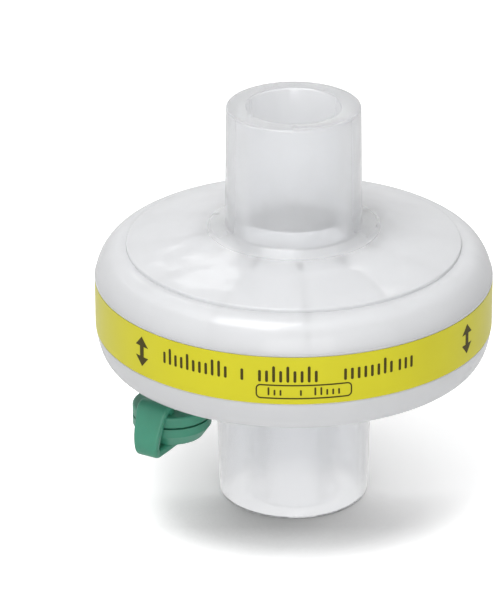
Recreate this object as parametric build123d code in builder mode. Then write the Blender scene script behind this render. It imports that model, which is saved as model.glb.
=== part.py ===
"""Breathing circuit filter: a round two-part housing that holds a disc of filter medium.

The top port is a 22 mm male cone with a 15 mm socket. The bottom port is a 22 mm socket
with a 15 mm male cone inside it. A luer sampling port under the housing has a retained cap.
Millimetres. The origin is the centre of the bottom port's rim, and +Z points up.
"""

import os
from math import acos, asin, atan, cos, degrees, radians, sin, tan

from build123d import *

# Housing shell
body_radius = 32.6
wall = 1.4

# Cup: port root, underside, lower shoulder and straight wall up to the seam
port_root_rise = 3.2  # from the floor of the lower socket to the root of its port
underside_angle = 12.7  # cone of the underside, degrees from flat
lower_shoulder_radial = 2.5
lower_shoulder_height = 6.55
cup_wall_height = 7.25

# Lid: upper shoulder, raised crown and its step, and the port's length above the crown
shoulder_drop = 1.3  # the lid's shoulder starts to turn in this far below the seam
upper_shoulder_radial = 4.5
upper_shoulder_height = 6.2
crown_inset = 0.7
crown_step = 0.6
crown_angle = 10.7  # cone of the crown, degrees from flat
upper_port_length = 20.5

# Conical connectors, radii at the open end, 1:40 on the diameter
cone_taper = 1 / 80  # radius per length
male_22_tip_radius = 10.95
female_22_mouth_radius = 11.2
male_15_tip_radius = 7.68
female_15_mouth_radius = 7.73
socket_depth = 18.5
lower_port_rim_radius = 12.4
lower_port_draft = 1.5  # degrees a side
inner_tube_bore_radius = 6.6
throat_flare = 3.4  # height of the flare between a port and the chamber
throat_spread = 4.5  # how much wider the flare is at the chamber
rim_round = 0.35
port_root_round = 0.5

# Joint between cup and lid, and the clamped rim of the medium
fit_clearance = 0.05
spigot_wall = 1.45
ledge_drop = 5.2  # from the seam down to the ledge
ledge_lip = 0.8
ledge_width = 1.6
rim_thickness = 1.2  # medium squeezed between ledge and spigot
media_thickness = 3.0
media_edge_slope = 0.9  # radial run between the squeezed rim and the full thickness
media_edge_clearance = 0.1

# Ribs that hold the medium flat and spread the flow
rib_count = 12
rib_thickness = 1.0
rib_root = 0.6  # how far a rib is rooted in the wall
rib_throat_gap = 2.1  # from the throat's edge to the inner end of a rib
rib_cup_rise = 6.5  # height of a cup rib's leading edge at its inner end
rib_lid_drop = 3.0  # height of a lid rib's leading edge at its inner end
lid_rib_run = 5.3  # radial run of a lid rib's sloping edge
cup_rib_run = 2.3  # radial run of a cup rib's sloping edge
grid_ring_pitch = 7.0
grid_ring_height = 2.0

# Label band
label_drop = 1.35  # the band reaches this far below the start of the lower shoulder
label_height = 8.1
label_thickness = 0.15
label_margin = 0.2
label_seam_gap = 0.6

# Luer sampling port
luer_offset = 1.6  # inwards from midway between the lower port and the body's side
luer_angle = 199.3  # degrees from +X
luer_length = 7.6
luer_neck_radius = 3.4
luer_mouth_radius = 2.15
luer_taper = 0.03  # radius per length, 6% on the diameter
luer_depth = 7.5
luer_drilling_radius = 1.2
lug_radius = 3.9
lug_height = 1.0
lug_width = 3.6
lug_clearance = 0.05

# Retained cap: ring on the luer neck, strap and cap
ring_radius = 6.5
ring_height = 2.0
ring_round = 0.4
cap_radius = 6.5
cap_end_radius = 5.2
cap_flare_height = 1.9
cap_land = 0.35
cap_gap = 0.15  # between the cap's land and the luer mouth
skirt_clearance = 0.3  # between the cap's skirt and the lugs that it covers
skirt_gap = 0.15  # between the skirt and the ring above it
plug_clearance = 0.05
plug_length = 5.0
plug_nose = 0.4
strap_width = 4.7
strap_thickness = 1.45
strap_round = 0.4
strap_rise = 0.75  # the strap's top stands this far above the ring
strap_reach = 5.1  # from the luer axis to the centre of the strap's bend
strap_angle = 236.0  # direction of the loop from the luer axis, degrees from +X

# Radii that follow from the sizes above
cup_bore_radius = body_radius - wall
label_seat_radius = body_radius - label_thickness
lower_turn_radius = body_radius - lower_shoulder_radial
upper_turn_radius = body_radius - upper_shoulder_radial
crown_radius = upper_turn_radius - crown_inset
spigot_radius = cup_bore_radius - fit_clearance
spigot_bore_radius = spigot_radius - spigot_wall
ledge_radius = cup_bore_radius - ledge_width
media_radius = cup_bore_radius - media_edge_clearance
media_rim_radius = ledge_radius - media_edge_clearance
media_flat_radius = media_rim_radius - media_edge_slope
funnel_radius = inner_tube_bore_radius + throat_spread
rib_inner_radius = funnel_radius + rib_throat_gap
cup_rib_foot_radius = rib_inner_radius + cup_rib_run
lid_rib_foot_radius = rib_inner_radius + lid_rib_run
ring_bore_radius = luer_neck_radius + fit_clearance

# Heights, one on another from the bottom rim up
lower_slope = tan(radians(underside_angle))
upper_slope = tan(radians(crown_angle))
port_root_z = socket_depth + port_root_rise
port_root_radius = lower_port_rim_radius + tan(radians(lower_port_draft)) * port_root_z
underside_z = port_root_z + (lower_turn_radius - port_root_radius) * lower_slope
lower_shoulder_z = underside_z + lower_shoulder_height
seam_z = lower_shoulder_z + cup_wall_height
upper_shoulder_z = seam_z - shoulder_drop
crown_edge_z = upper_shoulder_z + upper_shoulder_height
label_bottom_z = lower_shoulder_z - label_drop
label_top_z = label_bottom_z + label_height
ledge_z = seam_z - ledge_drop
spigot_end_z = ledge_z + rim_thickness
media_bottom_z = ledge_z + rim_thickness / 2 - media_thickness / 2
media_top_z = media_bottom_z + media_thickness

# Luer port and cap: places that follow
rib_pitch = 360 / rib_count
rib_phase = luer_angle + rib_pitch / 2  # the sampling hole opens midway between two ribs
luer_radius = (port_root_radius + body_radius) / 2 - luer_offset
luer_x = luer_radius * cos(radians(luer_angle))
luer_y = luer_radius * sin(radians(luer_angle))
luer_tip_z = underside_z - (lower_turn_radius - luer_radius) * lower_slope - luer_length
ring_bottom_z = luer_tip_z + lug_height + lug_clearance
cap_top_z = luer_tip_z - cap_gap
cap_flare_z = cap_top_z - cap_land
cap_bottom_z = cap_flare_z - cap_flare_height
ring_top_z = ring_bottom_z + ring_height
strap_top_z = ring_top_z + strap_rise
strap_bottom_z = cap_bottom_z - strap_thickness
skirt_top_z = ring_bottom_z - skirt_gap
skirt_bore_radius = lug_radius + skirt_clearance


def cup_outside_z(radius):
    """Height of the cup's conical underside at a radius."""
    return underside_z - (lower_turn_radius - radius) * lower_slope


def cup_inside_z(radius):
    """Height of the cup's conical floor at a radius."""
    return cup_outside_z(radius) + wall


def lid_outside_z(radius):
    """Height of the lid's crown at a radius."""
    return crown_edge_z + crown_step + (crown_radius - radius) * upper_slope


def lid_inside_z(radius):
    """Height of the lid's ceiling at a radius."""
    return crown_edge_z - wall + (upper_turn_radius - radius) * upper_slope


def radial_plane(angle):
    """Upright plane through the main axis: its X runs outwards at the angle, its Y is up."""
    turn = radians(angle)
    return Plane(origin=(0, 0, 0), x_dir=(cos(turn), sin(turn), 0), z_dir=(sin(turn), -cos(turn), 0))


def rings_at(part, radius, height):
    """Circular edges of a part around the main axis, at one radius and height."""
    return part.edges().filter_by(GeomType.CIRCLE).filter_by(
        lambda e: abs(e.radius - radius) < 1e-3 and abs(e.arc_center.Z - height) < 1e-3
    )


os.makedirs("parts", exist_ok=True)

# Lower housing: the cup, with the 22 mm socket, the 15 mm cone inside it and the luer port
funnel_bottom_z = cup_inside_z(funnel_radius) - throat_flare

with BuildPart() as lower_housing:
    with BuildSketch(Plane.XZ):
        with BuildLine():
            Polyline(
                (lower_turn_radius, underside_z),
                (port_root_radius, port_root_z),
                (lower_port_rim_radius, 0),
                (female_22_mouth_radius, 0),
                (female_22_mouth_radius - cone_taper * socket_depth, socket_depth),
                (male_15_tip_radius + cone_taper * socket_depth, socket_depth),
                (male_15_tip_radius, 0),
                (inner_tube_bore_radius, 0),
                (inner_tube_bore_radius, funnel_bottom_z),
                (funnel_radius, cup_inside_z(funnel_radius)),
                (lower_turn_radius, underside_z + wall),
            )
            EllipticalCenterArc(
                (lower_turn_radius, lower_shoulder_z),
                lower_shoulder_radial - wall,
                lower_shoulder_height - wall,
                start_angle=-90,
                arc_size=90,
            )
            Polyline(
                (cup_bore_radius, lower_shoulder_z),
                (ledge_radius, ledge_z - ledge_lip),
                (ledge_radius, ledge_z),
                (cup_bore_radius, ledge_z),
                (cup_bore_radius, seam_z),
                (body_radius, seam_z),
                (body_radius, lower_shoulder_z),
            )
            EllipticalCenterArc(
                (lower_turn_radius, lower_shoulder_z),
                lower_shoulder_radial,
                lower_shoulder_height,
                start_angle=-90,
                arc_size=90,
            )
        make_face()
    revolve(axis=Axis.Z)
    for rim_radius in (
        lower_port_rim_radius,
        female_22_mouth_radius,
        male_15_tip_radius,
        inner_tube_bore_radius,
    ):
        fillet(rings_at(lower_housing, rim_radius, 0), rim_round)
    fillet(rings_at(lower_housing, port_root_radius, port_root_z), port_root_round)

    # shallow seat for the label
    with BuildSketch(Plane.XZ):
        with BuildLine():
            Polyline(
                (label_seat_radius, label_bottom_z - label_margin),
                (body_radius + wall, label_bottom_z - label_margin),
                (body_radius + wall, label_top_z + label_margin),
                (label_seat_radius, label_top_z + label_margin),
                close=True,
            )
        make_face()
    revolve(axis=Axis.Z, mode=Mode.SUBTRACT)

    # radial ribs that carry the medium
    for rib in range(rib_count):
        with BuildSketch(radial_plane(rib_phase + rib * rib_pitch)):
            with BuildLine():
                Polyline(
                    (rib_inner_radius, cup_inside_z(rib_inner_radius) - rib_root),
                    (ledge_radius + rib_root, cup_inside_z(ledge_radius) - rib_root),
                    (ledge_radius + rib_root, media_bottom_z),
                    (cup_rib_foot_radius, media_bottom_z),
                    (rib_inner_radius, cup_inside_z(rib_inner_radius) + rib_cup_rise),
                    close=True,
                )
            make_face()
        extrude(amount=rib_thickness / 2, both=True)

    # rings of the support grid, level with the ribs
    for ring_middle in (cup_rib_foot_radius, cup_rib_foot_radius + grid_ring_pitch):
        with BuildSketch(Plane.XY.offset(media_bottom_z - grid_ring_height)):
            Circle(ring_middle + rib_thickness / 2)
            Circle(ring_middle - rib_thickness / 2, mode=Mode.SUBTRACT)
        extrude(amount=grid_ring_height)

    # luer neck, its two lugs, the tapered socket and the drilling into the chamber
    luer_top_z = cup_outside_z(luer_radius + luer_neck_radius)
    with BuildSketch(Plane.XY.offset(luer_tip_z)):
        with Locations((luer_x, luer_y)):
            Circle(luer_neck_radius)
    extrude(amount=luer_top_z - luer_tip_z)
    with BuildSketch(Plane.XY.offset(luer_tip_z)):
        with Locations((luer_x, luer_y)):
            Circle(lug_radius)
            Rectangle(3 * lug_radius, lug_width, mode=Mode.INTERSECT)
    extrude(amount=lug_height)
    with BuildSketch(Plane.XY.offset(luer_tip_z)):
        with Locations((luer_x, luer_y)):
            Circle(luer_mouth_radius)
    extrude(amount=luer_depth, taper=degrees(atan(luer_taper)), mode=Mode.SUBTRACT)
    with BuildSketch(Plane.XY.offset(luer_tip_z)):
        with Locations((luer_x, luer_y)):
            Circle(luer_drilling_radius)
    extrude(amount=cup_inside_z(luer_radius + luer_neck_radius) - luer_tip_z, mode=Mode.SUBTRACT)

lower_housing.part.label = "lower_housing"
export_step(lower_housing.part, "parts/lower_housing.step")

# Upper housing: the lid, with the 22 mm cone, its 15 mm socket and the clamping spigot
top_root_radius = male_22_tip_radius + cone_taper * upper_port_length
top_root_z = lid_outside_z(top_root_radius)
overall_height = top_root_z + upper_port_length
socket_bottom_z = overall_height - socket_depth
socket_bottom_radius = female_15_mouth_radius - cone_taper * socket_depth
ceiling_radius = socket_bottom_radius + throat_spread
ceiling_edge_z = crown_edge_z - wall
seam_rise = seam_z - upper_shoulder_z
outer_seam_angle = degrees(asin(seam_rise / upper_shoulder_height))
inner_seam_angle = degrees(asin(seam_rise / (upper_shoulder_height - wall)))
lid_seam_radius = upper_turn_radius + upper_shoulder_radial * cos(radians(outer_seam_angle))
lid_seam_bore = upper_turn_radius + (upper_shoulder_radial - wall) * cos(radians(inner_seam_angle))
spigot_share = (spigot_bore_radius - upper_turn_radius) / (upper_shoulder_radial - wall)
spigot_root_z = upper_shoulder_z + (upper_shoulder_height - wall) * sin(acos(spigot_share))

with BuildPart() as upper_housing:
    with BuildSketch(Plane.XZ):
        with BuildLine():
            Polyline(
                (upper_turn_radius, ceiling_edge_z),
                (ceiling_radius, lid_inside_z(ceiling_radius)),
                (socket_bottom_radius, socket_bottom_z),
                (female_15_mouth_radius, overall_height),
                (male_22_tip_radius, overall_height),
                (top_root_radius, top_root_z),
                (crown_radius, crown_edge_z + crown_step),
                (crown_radius, crown_edge_z),
                (upper_turn_radius, crown_edge_z),
            )
            EllipticalCenterArc(
                (upper_turn_radius, upper_shoulder_z),
                upper_shoulder_radial,
                upper_shoulder_height,
                start_angle=outer_seam_angle,
                arc_size=90 - outer_seam_angle,
            )
            Line((lid_seam_radius, seam_z), (lid_seam_bore, seam_z))
            EllipticalCenterArc(
                (upper_turn_radius, upper_shoulder_z),
                upper_shoulder_radial - wall,
                upper_shoulder_height - wall,
                start_angle=inner_seam_angle,
                arc_size=90 - inner_seam_angle,
            )
        make_face()
    revolve(axis=Axis.Z)
    for rim_radius in (male_22_tip_radius, female_15_mouth_radius):
        fillet(rings_at(upper_housing, rim_radius, overall_height), rim_round)
    fillet(rings_at(upper_housing, top_root_radius, top_root_z), port_root_round)
    fillet(rings_at(upper_housing, crown_radius, crown_edge_z + crown_step), crown_step / 2)

    # spigot that nests in the cup and clamps the medium's rim
    with BuildSketch(Plane.XY.offset(spigot_end_z)):
        Circle(spigot_radius)
        Circle(spigot_bore_radius, mode=Mode.SUBTRACT)
    extrude(amount=spigot_root_z - spigot_end_z)

    # radial ribs that spread the flow and keep the medium from lifting
    for rib in range(rib_count):
        with BuildSketch(radial_plane(rib_phase + rib * rib_pitch)):
            with BuildLine():
                Polyline(
                    (rib_inner_radius, lid_inside_z(rib_inner_radius) + rib_root),
                    (upper_turn_radius, ceiling_edge_z + rib_root),
                    (spigot_bore_radius + rib_root, spigot_root_z - rib_root),
                    (spigot_bore_radius + rib_root, media_top_z),
                    (lid_rib_foot_radius, media_top_z),
                    (rib_inner_radius, lid_inside_z(rib_inner_radius) - rib_lid_drop),
                    close=True,
                )
            make_face()
        extrude(amount=rib_thickness / 2, both=True)

upper_housing.part.label = "upper_housing"
export_step(upper_housing.part, "parts/upper_housing.step")

# Filter medium: one disc of felt, squeezed thin around its clamped rim
with BuildPart() as filter_media:
    with BuildSketch(Plane.XZ):
        with BuildLine():
            Polyline(
                (0, media_bottom_z),
                (media_flat_radius, media_bottom_z),
                (media_rim_radius, ledge_z),
                (media_radius, ledge_z),
                (media_radius, spigot_end_z),
                (media_rim_radius, spigot_end_z),
                (media_flat_radius, media_top_z),
                (0, media_top_z),
                close=True,
            )
        make_face()
    revolve(axis=Axis.Z)

filter_media.part.label = "filter_media"
export_step(filter_media.part, "parts/filter_media.step")

# Label band: a strip of film round the cup, with its butted ends at the back
with BuildPart() as label_band:
    with BuildSketch(Plane.XY.offset(label_bottom_z)):
        Circle(body_radius)
        Circle(label_seat_radius, mode=Mode.SUBTRACT)
        with Locations((0, body_radius)):
            Rectangle(label_seam_gap, wall, mode=Mode.SUBTRACT)
    extrude(amount=label_height)

label_band.part.label = "label_band"
export_step(label_band.part, "parts/label_band.step")

# Retaining ring of the cap, loose on the luer neck above its lugs
with BuildPart() as cap_ring:
    with BuildSketch(Plane.XY.offset(ring_bottom_z)):
        with Locations((luer_x, luer_y)):
            Circle(ring_radius)
            Circle(ring_bore_radius, mode=Mode.SUBTRACT)
    extrude(amount=ring_height)
    outer_edges = cap_ring.edges().filter_by(GeomType.CIRCLE).group_by(SortBy.RADIUS)[-1]
    fillet(outer_edges, ring_round)

cap_ring.part.label = "cap_ring"
export_step(cap_ring.part, "parts/cap_ring.step")

# Cap: a flared button with a skirt round the lugs and a tapered plug that closes the luer mouth
plug_root_radius = luer_mouth_radius - plug_clearance - luer_taper * (cap_top_z - luer_tip_z)
plug_tip_z = luer_tip_z + plug_length
plug_tip_radius = luer_mouth_radius - plug_clearance - luer_taper * plug_length

with BuildPart() as port_cap:
    with BuildSketch(Plane(origin=(luer_x, luer_y, 0), x_dir=(1, 0, 0), z_dir=(0, -1, 0))):
        with BuildLine():
            Polyline(
                (0, cap_bottom_z),
                (cap_end_radius, cap_bottom_z),
                (cap_radius, cap_flare_z),
                (cap_radius, skirt_top_z),
                (skirt_bore_radius, skirt_top_z),
                (skirt_bore_radius, cap_top_z),
                (plug_root_radius, cap_top_z),
                (plug_tip_radius, plug_tip_z),
                (plug_tip_radius - plug_nose, plug_tip_z + plug_nose),
                (0, plug_tip_z + plug_nose),
                close=True,
            )
        make_face()
    revolve(axis=Axis((luer_x, luer_y, 0), (0, 0, 1)))

port_cap.part.label = "port_cap"
export_step(port_cap.part, "parts/port_cap.step")

# Strap: leaves the ring outwards, bends down and ends flat under the cap
strap_turn = radians(strap_angle)
strap_plane = Plane(
    origin=(luer_x, luer_y, 0),
    x_dir=(cos(strap_turn), sin(strap_turn), 0),
    z_dir=(sin(strap_turn), -cos(strap_turn), 0),
)
strap_low_z = strap_bottom_z + strap_thickness / 2
strap_high_z = strap_top_z - strap_thickness / 2
strap_bend = (strap_high_z - strap_low_z) / 2
strap_section = Plane(
    origin=(luer_x, luer_y, strap_low_z),
    x_dir=(-sin(strap_turn), cos(strap_turn), 0),
    z_dir=(cos(strap_turn), sin(strap_turn), 0),
)

with BuildPart() as cap_strap:
    with BuildLine(strap_plane):
        Line((0, strap_low_z), (strap_reach, strap_low_z))
        CenterArc((strap_reach, strap_low_z + strap_bend), strap_bend, -90, 180)
    with BuildSketch(strap_section):
        RectangleRounded(strap_width, strap_thickness, strap_round)
    sweep()
    with BuildSketch(Plane.XY.offset(strap_bottom_z)):
        with Locations((luer_x, luer_y)):
            Circle(strap_width / 2)
    extrude(amount=strap_thickness)
    with BuildSketch(Plane.XY.offset(ring_bottom_z)):
        with Locations((luer_x, luer_y)):
            Circle(ring_radius)
    extrude(amount=ring_height, mode=Mode.SUBTRACT)
    with BuildSketch(Plane.XY.offset(ring_top_z)):
        with Locations((luer_x, luer_y)):
            Circle(ring_bore_radius)
    extrude(amount=strap_thickness, mode=Mode.SUBTRACT)

cap_strap.part.label = "cap_strap"
export_step(cap_strap.part, "parts/cap_strap.step")
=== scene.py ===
import bpy
import bmesh
import math
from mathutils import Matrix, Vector


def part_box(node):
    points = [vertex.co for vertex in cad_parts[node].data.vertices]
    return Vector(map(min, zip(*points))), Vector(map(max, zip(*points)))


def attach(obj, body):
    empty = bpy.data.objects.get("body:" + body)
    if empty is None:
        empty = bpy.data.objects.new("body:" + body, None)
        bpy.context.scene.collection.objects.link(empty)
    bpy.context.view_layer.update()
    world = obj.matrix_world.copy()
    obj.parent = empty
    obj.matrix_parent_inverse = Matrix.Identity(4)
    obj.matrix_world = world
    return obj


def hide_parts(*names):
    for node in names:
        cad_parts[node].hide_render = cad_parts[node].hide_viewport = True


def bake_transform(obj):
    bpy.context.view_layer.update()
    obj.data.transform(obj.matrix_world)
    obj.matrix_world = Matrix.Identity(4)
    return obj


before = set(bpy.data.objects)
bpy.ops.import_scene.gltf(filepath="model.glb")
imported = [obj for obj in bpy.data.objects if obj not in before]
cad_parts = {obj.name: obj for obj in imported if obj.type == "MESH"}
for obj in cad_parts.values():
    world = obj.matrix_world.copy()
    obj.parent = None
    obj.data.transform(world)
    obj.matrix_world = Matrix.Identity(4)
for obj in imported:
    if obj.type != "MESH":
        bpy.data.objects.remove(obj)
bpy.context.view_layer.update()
mm = 0.001

# general helpers


def linearColour(hexText):
    parts = [int(hexText[i:i + 2], 16) / 255 for i in (0, 2, 4)]
    return [c / 12.92 if c <= 0.04045 else ((c + 0.055) / 1.055) ** 2.4 for c in parts] + [1.0]


def addObject(name, data):
    made = bpy.data.objects.new(name, data)
    bpy.context.scene.collection.objects.link(made)
    return made


def addNode(tree, kind, settings=None, inputs=None, links=()):
    node = tree.nodes.new(kind)
    for name, value in (settings or {}).items():
        setattr(node, name, value)
    for name, value in (inputs or {}).items():
        node.inputs[name].default_value = value
    for name, source in links:
        tree.links.new(source, node.inputs[name])
    return node


def maths(tree, operation, *values):  # each value is a socket or a plain number
    node = addNode(tree, "ShaderNodeMath", {"operation": operation})
    for place, value in enumerate(values):
        if isinstance(value, float):
            node.inputs[place].default_value = value
        else:
            tree.links.new(value, node.inputs[place])
    return node.outputs["Value"]


def mapped(tree, value, fromMin, fromMax, toMin, toMax):
    return addNode(tree, "ShaderNodeMapRange", inputs={
        "From Min": fromMin, "From Max": fromMax, "To Min": toMin, "To Max": toMax,
    }, links=[("Value", value)]).outputs["Result"]


def newMaterial(name):
    material = bpy.data.materials.new(name)
    material.use_nodes = True
    material.node_tree.nodes.clear()
    return material, material.node_tree


def closeMaterial(tree, shader):
    addNode(tree, "ShaderNodeOutputMaterial", links=[("Surface", shader)])


def objectPoint(tree):
    return addNode(tree, "ShaderNodeTexCoord").outputs["Object"]


def fromAxis(tree, point):  # distance of a surface point from the filter's main axis
    flat = addNode(tree, "ShaderNodeVectorMath", {"operation": "MULTIPLY"}, links=[(0, point)])
    flat.inputs[1].default_value = (1, 1, 0)
    length = addNode(tree, "ShaderNodeVectorMath", {"operation": "LENGTH"},
                     links=[(0, flat.outputs["Vector"])])
    return length.outputs["Value"]


def noise(tree, point, sizeMm, detail=3.0):  # noise whose blotches are about sizeMm across
    return addNode(tree, "ShaderNodeTexNoise", inputs={"Scale": 1000 / sizeMm, "Detail": detail},
                   links=[("Vector", point)]).outputs["Fac"]


def bump(tree, height, strength, distance, links=()):
    return addNode(tree, "ShaderNodeBump", inputs={"Strength": strength, "Distance": distance},
                   links=[("Height", height), *links]).outputs["Normal"]


def colourBetween(tree, share, first, second):
    mix = addNode(tree, "ShaderNodeMix", {"data_type": "RGBA"}, links=[("Factor", share)])
    mix.inputs["A"].default_value = linearColour(first)
    mix.inputs["B"].default_value = linearColour(second)
    return mix.outputs["Result"]


# materials

clearPlastic = {
    "tint": {"port": "F4F5F7", "body": "E8E9EB"},
    "through": {"port": 0.70, "body": 0.42},  # share of the light that passes straight in
    "blur": {"port": 0.22, "body": 0.50},
    "portEdge": 13.2 * mm,  # the tubes lie inside this radius
    "bodyEdge": 18.0 * mm,  # the milkier body lies outside this one
    # the walls of the lower port are clearer still, from its root down to its foot
    "doubleTube": {"foot": 18 * mm, "root": 21 * mm, "through": 0.25},
    # the tube inside the lower port is hardly seen
    "innerTube": {"inside": 8.8 * mm, "outside": 9.8 * mm, "clear": 0.78},
    "ior": 1.49,
    "coat": 0.45,
    "coatRoughness": 0.10,
    "swell": {"sizeMm": 9.5, "detail": 1.0, "strength": 0.65},  # slow waves of the moulded skin
    "peel": {"sizeMm": 2.2, "detail": 3.0, "strength": 0.03},  # and the fine peel over them
    "skinDepth": 1.0 * mm,
}


def waxySkin(tree, point):
    swell, peel = clearPlastic["swell"], clearPlastic["peel"]
    slow = noise(tree, point, swell["sizeMm"], swell["detail"])
    waves = bump(tree, slow, swell["strength"], clearPlastic["skinDepth"])
    fine = noise(tree, point, peel["sizeMm"], peel["detail"])
    return bump(tree, fine, peel["strength"], clearPlastic["skinDepth"], [("Normal", waves)])


def polypropyleneMaterial():
    # natural polypropylene, injection moulded: clearer tubes, a milkier body and a glossy, wavy skin
    material, tree = newMaterial("naturalPolypropylene")
    tint, share, blur = clearPlastic["tint"], clearPlastic["through"], clearPlastic["blur"]
    double, inner = clearPlastic["doubleTube"], clearPlastic["innerTube"]
    edges = (clearPlastic["portEdge"], clearPlastic["bodyEdge"])
    point = objectPoint(tree)
    radius = fromAxis(tree, point)
    height = addNode(tree, "ShaderNodeSeparateXYZ", links=[("Vector", point)]).outputs["Z"]
    onBody = mapped(tree, radius, *edges, 0.0, 1.0)
    onDouble = mapped(tree, height, double["root"], double["foot"], 0.0, 1.0)
    nearAxis = mapped(tree, radius, inner["outside"], inner["inside"], 0.0, inner["clear"])
    onInner = maths(tree, "MULTIPLY", onDouble, nearAxis)
    singleWall = mapped(tree, radius, *edges, share["port"], share["body"])
    through = maths(tree, "MULTIPLY_ADD", onDouble, double["through"], singleWall)
    wall = addNode(tree, "ShaderNodeBsdfPrincipled", inputs={
        "IOR": clearPlastic["ior"],
        "Coat Weight": clearPlastic["coat"],
        "Coat Roughness": clearPlastic["coatRoughness"],
    }, links=[
        ("Base Color", colourBetween(tree, onBody, tint["port"], tint["body"])),
        ("Transmission Weight", through),
        ("Roughness", mapped(tree, radius, *edges, blur["port"], blur["body"])),
        ("Coat Normal", waxySkin(tree, point)),
    ])
    clear = addNode(tree, "ShaderNodeBsdfTransparent")
    whole = addNode(tree, "ShaderNodeMixShader",
                    links=[("Fac", onInner), (1, wall.outputs["BSDF"]), (2, clear.outputs["BSDF"])])
    closeMaterial(tree, whole.outputs["Shader"])
    return material


felt = {
    "colour": "F4F4F2",
    "shade": "E3E3E2",
    "fibre": {"sizeMm": 0.5, "detail": 6.0, "strength": 0.4, "depth": 0.2 * mm},
    "roughness": 0.95,
}


def feltMaterial():
    # non-woven electrostatic felt: matt and white, with a faint fibre mottle
    material, tree = newMaterial("electrostaticFelt")
    fibre = felt["fibre"]
    fibres = noise(tree, objectPoint(tree), fibre["sizeMm"], fibre["detail"])
    body = addNode(tree, "ShaderNodeBsdfPrincipled", inputs={"Roughness": felt["roughness"]}, links=[
        ("Base Color", colourBetween(tree, fibres, felt["colour"], felt["shade"])),
        ("Normal", bump(tree, fibres, fibre["strength"], fibre["depth"])),
    ])
    closeMaterial(tree, body.outputs["BSDF"])
    return material


labelFilm = {"colour": "C6C01C", "shade": "BDB618", "mottleMm": 9.0, "roughness": 0.35, "gloss": 0.32}
printInk = {"colour": "3B3310", "shade": "473F14", "mottleMm": 0.3, "roughness": 0.5, "gloss": 0.15}


def satinMaterial(name, look):
    material, tree = newMaterial(name)
    mottle = noise(tree, objectPoint(tree), look["mottleMm"])
    body = addNode(tree, "ShaderNodeBsdfPrincipled", inputs={
        "Roughness": look["roughness"],
        "Specular IOR Level": look["gloss"],
    }, links=[("Base Color", colourBetween(tree, mottle, look["colour"], look["shade"]))])
    closeMaterial(tree, body.outputs["BSDF"])
    return material


capRubber = {
    "colour": "3E8C72",
    "shade": "367F67",
    "mottleMm": 3.0,
    "grain": {"sizeMm": 0.35, "strength": 0.15, "depth": 0.1 * mm},
    "roughness": 0.42,
    "glow": 0.15,  # share of the light that wanders under the surface
    "glowDepth": 0.6 * mm,
}


def elastomerMaterial():
    # green thermoplastic elastomer, moulded: soft sheen, a fine matt grain and a little light in its edges
    material, tree = newMaterial("greenElastomer")
    grain = capRubber["grain"]
    point = objectPoint(tree)
    mottle = noise(tree, point, capRubber["mottleMm"])
    speckle = noise(tree, point, grain["sizeMm"])
    body = addNode(tree, "ShaderNodeBsdfPrincipled", inputs={
        "Roughness": capRubber["roughness"],
        "Subsurface Weight": capRubber["glow"],
        "Subsurface Scale": capRubber["glowDepth"],
    }, links=[
        ("Base Color", colourBetween(tree, mottle, capRubber["colour"], capRubber["shade"])),
        ("Normal", bump(tree, speckle, grain["strength"], grain["depth"])),
    ])
    closeMaterial(tree, body.outputs["BSDF"])
    return material


plastic = polypropyleneMaterial()
feltWhite = feltMaterial()
yellowFilm = satinMaterial("yellowLabelFilm", labelFilm)  # polypropylene film under a flood of yellow ink
ink = satinMaterial("oliveInk", printInk)  # dark olive printing ink on the film
greenRubber = elastomerMaterial()
print("materials made")

# moulded pieces: the solids' own surfaces, merged and shaded smooth

moulding = {
    "weld": 0.002 * mm,  # points nearer than this are one
    "crease": 32.0,  # degrees from which an edge stays sharp
}


def smoothCopy(nodeName, material):
    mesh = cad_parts[nodeName].data.copy()
    mesh.name = nodeName + "_surface"
    piece = addObject(nodeName + "_surface", mesh)
    shape = bmesh.new()
    shape.from_mesh(mesh)
    bmesh.ops.remove_doubles(shape, verts=shape.verts, dist=moulding["weld"])
    crease = math.radians(moulding["crease"])
    for face in shape.faces:
        face.smooth = True
    for edge in shape.edges:
        edge.smooth = len(edge.link_faces) == 2 and edge.calc_face_angle(0.0) < crease
    shape.to_mesh(mesh)
    shape.free()
    if mesh.attributes.get("custom_normal"):
        mesh.attributes.remove(mesh.attributes["custom_normal"])
    mesh.materials.clear()
    mesh.materials.append(material)
    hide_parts(nodeName)
    return piece


for nodeName in ("upper_housing", "lower_housing"):
    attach(smoothCopy(nodeName, plastic), "housing")
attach(smoothCopy("label_band", yellowFilm), "housing")
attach(smoothCopy("filter_media", feltWhite), "housing")
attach(smoothCopy("cap_ring", greenRubber), "retaining_ring")
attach(smoothCopy("port_cap", greenRubber), "cap")
print("moulded pieces dressed")

# strap of the cap: a soft strip that springs from the ring, leans out and tucks under the cap

capStrap = {
    "thickness": 1.45 * mm,
    "corner": 0.45 * mm,
    "cornerSteps": 4,
    "direction": 241.0,  # degrees, of its loop seen from the luer axis
    "route": [  # millimetres out from the luer axis, above the strap's foot, and the width there
        (3.8, 6.8, 5.0), (4.2, 7.6, 5.4), (5.0, 8.2, 5.6), (6.2, 7.8, 5.5), (7.1, 6.1, 5.1), (8.0, 3.7, 4.6),
        (8.15, 1.9, 4.2), (7.6, 0.9, 4.0), (6.2, 0.72, 4.0), (3.0, 0.75, 4.2), (0.0, 0.75, 4.2),
        (-1.5, 0.75, 3.6), (-2.2, 0.75, 1.8),
    ],
    "steps": 6,  # between two points of the route
}


def smoothThrough(before, start, end, after, share):  # one point of a Catmull-Rom curve
    point = []
    for a, b, c, d in zip(before, start, end, after):
        slope = c - a
        bend = 2 * a - 5 * b + 4 * c - d
        twist = 3 * b - a - 3 * c + d
        point.append(0.5 * (2 * b + slope * share + bend * share ** 2 + twist * share ** 3))
    return tuple(point)


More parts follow.
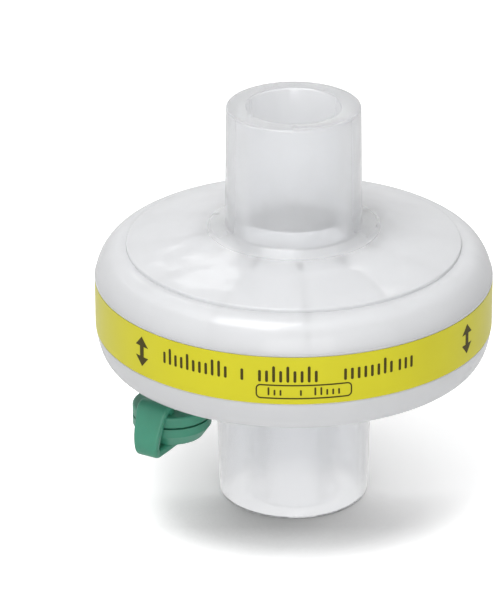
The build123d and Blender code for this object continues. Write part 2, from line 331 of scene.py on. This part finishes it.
def strapStations():
    route, steps = capStrap["route"], capStrap["steps"]
    ends = [route[0], *route, route[-1]]
    stations = []
    for i in range(len(route) - 1):
        for step in range(steps):
            stations.append(smoothThrough(*ends[i:i + 4], step / steps))
    return stations + [route[-1]]


def roundedBox(width, height, corner, steps=6, sideSteps=24):  # its long sides are divided, to bend
    points = []
    quarters = [(1, -1, -90), (1, 1, 0), (-1, 1, 90), (-1, -1, 180)]
    for sx, sy, start in quarters:
        cx, cy = sx * (width / 2 - corner), sy * (height / 2 - corner)
        for i in range(steps + 1):
            turn = math.radians(start + 90 * i / steps)
            points.append((cx + corner * math.cos(turn), cy + corner * math.sin(turn)))
        if sx == sy:
            sideStart, level = points[-1]
            for i in range(1, sideSteps):
                points.append((sideStart - 2 * sideStart * i / sideSteps, level))
    return points


def strapSurface():
    ringLow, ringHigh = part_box("cap_ring")
    strapLow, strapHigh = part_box("cap_strap")
    foot = Vector(((ringLow[0] + ringHigh[0]) / 2, (ringLow[1] + ringHigh[1]) / 2, strapLow[2]))
    turn = math.radians(capStrap["direction"])
    outward = Vector((math.cos(turn), math.sin(turn), 0))
    sideways = Vector((-math.sin(turn), math.cos(turn), 0))
    stations = strapStations()
    shape = bmesh.new()
    rings = []
    for i, (reach, rise, width) in enumerate(stations):
        before, after = stations[max(i - 1, 0)], stations[min(i + 1, len(stations) - 1)]
        along = (outward * (after[0] - before[0]) + Vector((0, 0, after[1] - before[1]))).normalized()
        upright = along.cross(sideways).normalized()
        centre = foot + outward * reach * mm + Vector((0, 0, rise * mm))
        section = roundedBox(width * mm, capStrap["thickness"], capStrap["corner"],
                             capStrap["cornerSteps"], sideSteps=1)
        rings.append([shape.verts.new(centre + sideways * x + upright * y) for x, y in section])
    for near, far in zip(rings, rings[1:]):
        for j in range(len(near)):
            k = (j + 1) % len(near)
            shape.faces.new((near[j], near[k], far[k], far[j]))
    shape.faces.new(rings[0])
    shape.faces.new(rings[-1])
    bmesh.ops.recalc_face_normals(shape, faces=shape.faces)
    for face in shape.faces:
        face.smooth = len(face.verts) == 4
    mesh = bpy.data.meshes.new("cap_strap_surface")
    shape.to_mesh(mesh)
    shape.free()
    mesh.materials.append(greenRubber)
    piece = addObject("cap_strap_surface", mesh)
    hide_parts("cap_strap")
    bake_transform(piece)


strapSurface()
print("strap modelled")

# print on the label: rows of plain strokes, a plain frame and plain flow arrows

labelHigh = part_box("label_band")[1]
bandRadius = labelHigh[0]
bandTop = labelHigh[2]

labelPrint = {
    "inkHeight": 0.02 * mm,
    "strokeWidth": 0.46 * mm,
    "shortStroke": 2.0 * mm,
    "tallStroke": 2.8 * mm,
    "tallShare": 0.4,  # of the strokes
    "cornerShare": 0.45,  # of a stroke's width
    "cornerSteps": 4,
    "strokePitch": 1.12 * mm,
    "rowDrop": 4.3 * mm,  # from the band's top edge to the strokes' foot
    "groups": [(-39.0, 11), (-14.5, 1), (-9.5, 9), (14.5, 8), (31.0, 3)],  # start angle, strokes
    "firstSeed": 1,
}


def strokeTree():  # a row of rounded strokes, some of them taller, wrapped round the band
    tree = bpy.data.node_groups.new("strokeRow", "GeometryNodeTree")
    tree.interface.new_socket("Geometry", in_out="INPUT", socket_type="NodeSocketGeometry")
    for name in ("Count", "Seed"):
        tree.interface.new_socket(name, in_out="INPUT", socket_type="NodeSocketInt")
    for name in ("Pitch", "Width", "Short", "Tall", "Ink", "Radius", "Start Angle", "Foot"):
        tree.interface.new_socket(name, in_out="INPUT", socket_type="NodeSocketFloat")
    tree.interface.new_socket("Geometry", in_out="OUTPUT", socket_type="NodeSocketGeometry")
    given = addNode(tree, "NodeGroupInput").outputs

    # one stroke, lying flat
    outline = addNode(tree, "GeometryNodeCurvePrimitiveQuadrilateral",
                      links=[("Width", given["Width"]), ("Height", given["Short"])])
    corner = maths(tree, "MULTIPLY", given["Width"], labelPrint["cornerShare"])
    rounded = addNode(tree, "GeometryNodeFilletCurve", {"mode": "POLY"},
                      {"Count": labelPrint["cornerSteps"]},
                      [("Curve", outline.outputs["Curve"]), ("Radius", corner)])
    face = addNode(tree, "GeometryNodeFillCurve", {"mode": "NGONS"},
                   links=[("Curve", rounded.outputs["Curve"])])
    plate = addNode(tree, "GeometryNodeExtrudeMesh", inputs={"Individual": False},
                    links=[("Mesh", face.outputs["Mesh"]), ("Offset Scale", given["Ink"])])

    # the row of them, each on the same foot line
    step = addNode(tree, "ShaderNodeCombineXYZ", links=[("X", given["Pitch"])])
    line = addNode(tree, "GeometryNodeMeshLine", {"mode": "OFFSET"},
                   links=[("Count", given["Count"]), ("Offset", step.outputs["Vector"])])
    taller = addNode(tree, "FunctionNodeRandomValue", {"data_type": "BOOLEAN"},
                     {"Probability": labelPrint["tallShare"]}, [("Seed", given["Seed"])])
    ratio = maths(tree, "DIVIDE", given["Tall"], given["Short"])
    height = addNode(tree, "GeometryNodeSwitch", {"input_type": "FLOAT"}, {"False": 1.0},
                     [("Switch", taller.outputs[3]), ("True", ratio)]).outputs["Output"]
    half = maths(tree, "MULTIPLY", maths(tree, "MULTIPLY", given["Short"], height), 0.5)
    raised = addNode(tree, "ShaderNodeCombineXYZ", links=[("Y", half)])
    placed = addNode(tree, "GeometryNodeSetPosition",
                     links=[("Geometry", line.outputs["Mesh"]), ("Offset", raised.outputs["Vector"])])
    size = addNode(tree, "ShaderNodeCombineXYZ", inputs={"X": 1.0, "Z": 1.0}, links=[("Y", height)])
    copies = addNode(tree, "GeometryNodeInstanceOnPoints", links=[
        ("Points", placed.outputs["Geometry"]),
        ("Instance", plate.outputs["Mesh"]),
        ("Scale", size.outputs["Vector"]),
    ])
    row = addNode(tree, "GeometryNodeRealizeInstances", links=[("Geometry", copies.outputs["Instances"])])

    # the flat row bent round the band
    place = addNode(tree, "GeometryNodeInputPosition")
    spot = addNode(tree, "ShaderNodeSeparateXYZ", links=[("Vector", place.outputs["Position"])]).outputs
    angle = maths(tree, "ADD", maths(tree, "DIVIDE", spot["X"], given["Radius"]), given["Start Angle"])
    reach = maths(tree, "ADD", spot["Z"], given["Radius"])
    across = maths(tree, "MULTIPLY", maths(tree, "SINE", angle), reach)
    forward = maths(tree, "MULTIPLY", maths(tree, "COSINE", angle), reach)
    bent = addNode(tree, "ShaderNodeCombineXYZ", links=[
        ("X", across),
        ("Y", maths(tree, "MULTIPLY", forward, -1.0)),
        ("Z", maths(tree, "ADD", spot["Y"], given["Foot"])),
    ])
    wrapped = addNode(tree, "GeometryNodeSetPosition",
                      links=[("Geometry", row.outputs["Geometry"]), ("Position", bent.outputs["Vector"])])
    inked = addNode(tree, "GeometryNodeSetMaterial", inputs={"Material": ink},
                    links=[("Geometry", wrapped.outputs["Geometry"])])
    addNode(tree, "NodeGroupOutput", links=[("Geometry", inked.outputs["Geometry"])])
    return tree


def strokeRow(name, tree, values):  # the evaluated row as a plain mesh, with no modifier left
    piece = addObject(name, bpy.data.meshes.new(name))
    modifier = piece.modifiers.new("strokes", "NODES")
    modifier.node_group = tree
    for item in tree.interface.items_tree:
        if item.in_out == "INPUT" and item.name in values:
            modifier[item.identifier] = values[item.name]
    bpy.context.view_layer.update()
    evaluated = piece.evaluated_get(bpy.context.evaluated_depsgraph_get())
    mesh = bpy.data.meshes.new_from_object(evaluated)
    piece.modifiers.clear()
    piece.data = mesh
    return piece


def bentPlate(name, outline, angleDegrees, middleZ, hole=()):  # a flat outline wrapped onto the band
    shape = bmesh.new()
    outer = [shape.verts.new((x, y, 0)) for x, y in outline]
    inner = [shape.verts.new((x, y, 0)) for x, y in hole]
    if inner:
        for i in range(len(inner)):
            j = (i + 1) % len(inner)
            shape.faces.new((outer[i], outer[j], inner[j], inner[i]))
    else:
        shape.faces.new(outer)
    grown = bmesh.ops.extrude_face_region(shape, geom=list(shape.faces))
    for item in grown["geom"]:
        if isinstance(item, bmesh.types.BMVert):
            item.co.z += labelPrint["inkHeight"]
    for vert in shape.verts:
        angle = math.radians(angleDegrees) + vert.co.x / bandRadius
        reach = bandRadius + vert.co.z
        vert.co = Vector((reach * math.sin(angle), -reach * math.cos(angle), middleZ + vert.co.y))
    bmesh.ops.recalc_face_normals(shape, faces=shape.faces)
    mesh = bpy.data.meshes.new(name)
    shape.to_mesh(mesh)
    shape.free()
    mesh.materials.append(ink)
    return addObject(name, mesh)


strokes = strokeTree()
printPieces = []
common = {
    "Ink": labelPrint["inkHeight"], "Radius": bandRadius, "Pitch": labelPrint["strokePitch"],
    "Width": labelPrint["strokeWidth"], "Short": labelPrint["shortStroke"], "Tall": labelPrint["tallStroke"],
    "Foot": bandTop - labelPrint["rowDrop"],
}
for number, (startAngle, count) in enumerate(labelPrint["groups"]):
    values = dict(common, Count=count, Seed=labelPrint["firstSeed"] + number)
    values["Start Angle"] = math.radians(startAngle)
    printPieces.append(strokeRow(f"strokes_{number}", strokes, values))

frameBox = {
    "width": 15.4 * mm,
    "height": 2.5 * mm,
    "corner": 0.8 * mm,
    "line": 0.24 * mm,
    "angle": 2.9,
    "drop": 5.95 * mm,  # from the band's top edge to its middle
    "groups": [(-7.0, 3), (2.0, 1), (6.0, 5)],  # start angle, strokes
    "strokes": {"Pitch": 0.95 * mm, "Width": 0.3 * mm, "Short": 1.0 * mm, "Tall": 1.4 * mm},
    "strokeDrop": 0.65 * mm,  # from its middle to the strokes' foot
    "firstSeed": 20,
}
frameMiddle = bandTop - frameBox["drop"]
frameOuter = roundedBox(frameBox["width"], frameBox["height"], frameBox["corner"])
frameInner = roundedBox(frameBox["width"] - 2 * frameBox["line"], frameBox["height"] - 2 * frameBox["line"],
                        frameBox["corner"] - frameBox["line"])
printPieces.append(bentPlate("frame", frameOuter, frameBox["angle"], frameMiddle, frameInner))
for number, (startAngle, count) in enumerate(frameBox["groups"]):
    values = dict(common, Count=count, Seed=frameBox["firstSeed"] + number, **frameBox["strokes"])
    values["Start Angle"] = math.radians(startAngle)
    values["Foot"] = frameMiddle - frameBox["strokeDrop"]
    printPieces.append(strokeRow(f"smallStrokes_{number}", strokes, values))

flowArrow = {
    "angles": (-48.0, 58.6),
    "height": 5.2 * mm,
    "head": 1.7 * mm,
    "headWidth": 3.0 * mm,
    "shaft": 0.9 * mm,
    "drop": 3.9 * mm,  # from the band's top edge to its middle
}


def doubleArrow():
    top = flowArrow["height"] / 2
    neck = top - flowArrow["head"]
    wide = flowArrow["headWidth"] / 2
    slim = flowArrow["shaft"] / 2
    right = [(slim, -neck), (slim, neck), (wide, neck), (0, top)]
    left = [(-wide, neck), (-slim, neck), (-slim, -neck), (-wide, -neck), (0, -top), (wide, -neck)]
    return right + left


for number, angle in enumerate(flowArrow["angles"]):
    printPieces.append(bentPlate(f"arrow_{number}", doubleArrow(), angle, bandTop - flowArrow["drop"]))

with bpy.context.temp_override(active_object=printPieces[0], selected_editable_objects=printPieces):
    bpy.ops.object.join()
labelInk = printPieces[0]
labelInk.name = "label_print"
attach(labelInk, "housing")
print("label printed")

# floor, light and camera

studio = {
    "floorReach": 1.5,
    "floorWhite": 0.8,
    "floorFill": 0.39,  # lifts the unshaded floor to white, for the camera only
    "floorThrough": 0.92,  # the white floor as the clear plastic shows it
    "contactReach": 26 * mm,  # what stands within this distance darkens the floor's colour, a painted contact shade
    "contactSamples": 16,
    "contactFade": (22 * mm, 42 * mm),  # the shade thins out between these distances from the axis
    "contactLean": (-15 * mm, -2 * mm),  # and weakens from the front to the back between these places
    "contactPower": (1.36, 0.33),  # its strength in front and behind
    "worldLight": 0.62,
    "lampAim": (0, 0, 0.035),
    "overhead": {"place": (-0.14, -0.17, 0.60), "size": 0.34, "power": 2.55},
    "leftPane": {"place": (-0.10, 0.50, 0.45), "size": 0.10, "power": 0.085},  # three window panes behind
    "middlePane": {"place": (0.00, 0.50, 0.56), "size": 0.06, "power": 0.036},
    "rightPane": {"place": (0.09, 0.50, 0.49), "size": 0.06, "power": 0.030},
    "frontFill": {"place": (0.04, -0.66, 0.14), "size": 0.50, "power": 1.9},
}
plainWhite = [1, 1, 1, 1]


def studioFloor():
    # a white paper sweep. The camera sees it with a painted contact shade, and the plastic shows it evenly
    # white
    reach = studio["floorReach"]
    corners = [(-reach, -reach, 0), (reach, -reach, 0), (reach, reach, 0), (-reach, reach, 0)]
    mesh = bpy.data.meshes.new("studio_floor")
    mesh.from_pydata(corners, [], [(0, 1, 2, 3)])
    floor = addObject("studio_floor", mesh)
    material, tree = newMaterial("paperSweep")
    point = objectPoint(tree)
    ahead = addNode(tree, "ShaderNodeSeparateXYZ", links=[("Vector", point)]).outputs["Y"]
    fade = mapped(tree, fromAxis(tree, point), *studio["contactFade"], 1.0, 0.0)
    lean = mapped(tree, ahead, *studio["contactLean"], *studio["contactPower"])
    nearby = addNode(tree, "ShaderNodeAmbientOcclusion", {"samples": studio["contactSamples"]},
                     {"Distance": studio["contactReach"]})
    # painted contact shade: occlusion darkens the floor's colour and its fill, most in front
    shade = maths(tree, "POWER", nearby.outputs["AO"], maths(tree, "MULTIPLY", fade, lean))
    shadedPaper = addNode(tree, "ShaderNodeBsdfDiffuse", links=[("Color", shade)])
    fill = addNode(tree, "ShaderNodeEmission", inputs={"Color": plainWhite},
                   links=[("Strength", maths(tree, "MULTIPLY", shade, studio["floorFill"]))])
    toCamera = addNode(tree, "ShaderNodeAddShader",
                       links=[(0, shadedPaper.outputs["BSDF"]), (1, fill.outputs["Emission"])])
    paper = addNode(tree, "ShaderNodeBsdfDiffuse", inputs={"Color": [studio["floorWhite"]] * 3 + [1]})
    evenWhite = addNode(tree, "ShaderNodeEmission",
                        inputs={"Color": plainWhite, "Strength": studio["floorThrough"]})
    rays = addNode(tree, "ShaderNodeLightPath").outputs
    byPlastic = maths(tree, "MAXIMUM", rays["Is Transmission Ray"], rays["Is Glossy Ray"])
    direct = addNode(tree, "ShaderNodeMixShader", links=[
        ("Fac", rays["Is Camera Ray"]),
        (1, paper.outputs["BSDF"]),
        (2, toCamera.outputs["Shader"]),
    ])
    whole = addNode(tree, "ShaderNodeMixShader", links=[
        ("Fac", byPlastic),
        (1, direct.outputs["Shader"]),
        (2, evenWhite.outputs["Emission"]),
    ])
    closeMaterial(tree, whole.outputs["Shader"])
    mesh.materials.append(material)


def studioWorld():  # white where it is seen or mirrored, and dimmer as a light
    world = bpy.data.worlds.new("studio")
    world.use_nodes = True
    tree = world.node_tree
    tree.nodes.clear()
    rays = addNode(tree, "ShaderNodeLightPath").outputs
    direct = maths(tree, "MAXIMUM", rays["Is Camera Ray"], rays["Is Transmission Ray"])
    seen = maths(tree, "MAXIMUM", direct, rays["Is Glossy Ray"])
    strength = mapped(tree, seen, 0.0, 1.0, studio["worldLight"], 1.0)
    sky = addNode(tree, "ShaderNodeBackground", inputs={"Color": plainWhite}, links=[("Strength", strength)])
    addNode(tree, "ShaderNodeOutputWorld", links=[("Surface", sky.outputs["Background"])])
    bpy.context.scene.world = world


def softbox(name, place, size, power):
    lamp = bpy.data.lights.new(name, "AREA")
    lamp.shape = "SQUARE"
    lamp.size = size
    lamp.energy = power
    box = addObject(name, lamp)
    box.location = place
    aim = Vector(studio["lampAim"]) - Vector(place)
    box.rotation_euler = aim.to_track_quat("-Z", "Y").to_euler()


studioFloor()
studioWorld()
for lampName in ("overhead", "leftPane", "middlePane", "rightPane", "frontFill"):
    softbox(lampName, **studio[lampName])

photoCamera = {
    "distance": 0.700,
    "elevation": 24.40,  # degrees above the horizon
    "aimHeight": 34.06 * mm,
    "focalPixels": 4260,
    "longSide": 600,  # pixels of the photograph
    "shortSide": 499,
    "axisPixel": 293.7,  # where the filter's axis stands in it
    "sensorWidth": 36,
}


def makeCamera():
    lens = bpy.data.cameras.new("photo")
    lens.sensor_width = photoCamera["sensorWidth"]
    lens.lens = photoCamera["focalPixels"] / photoCamera["longSide"] * lens.sensor_width
    lens.shift_x = -(photoCamera["axisPixel"] - photoCamera["shortSide"] / 2) / photoCamera["longSide"]
    camera = addObject("photo", lens)
    tilt = math.radians(photoCamera["elevation"])
    camera.location = (0, -photoCamera["distance"] * math.cos(tilt),
                       photoCamera["aimHeight"] + photoCamera["distance"] * math.sin(tilt))
    camera.rotation_euler = (math.pi / 2 - tilt, 0, 0)
    bpy.context.scene.camera = camera


makeCamera()
bpy.context.scene.view_settings.view_transform = "Standard"
print("studio set")
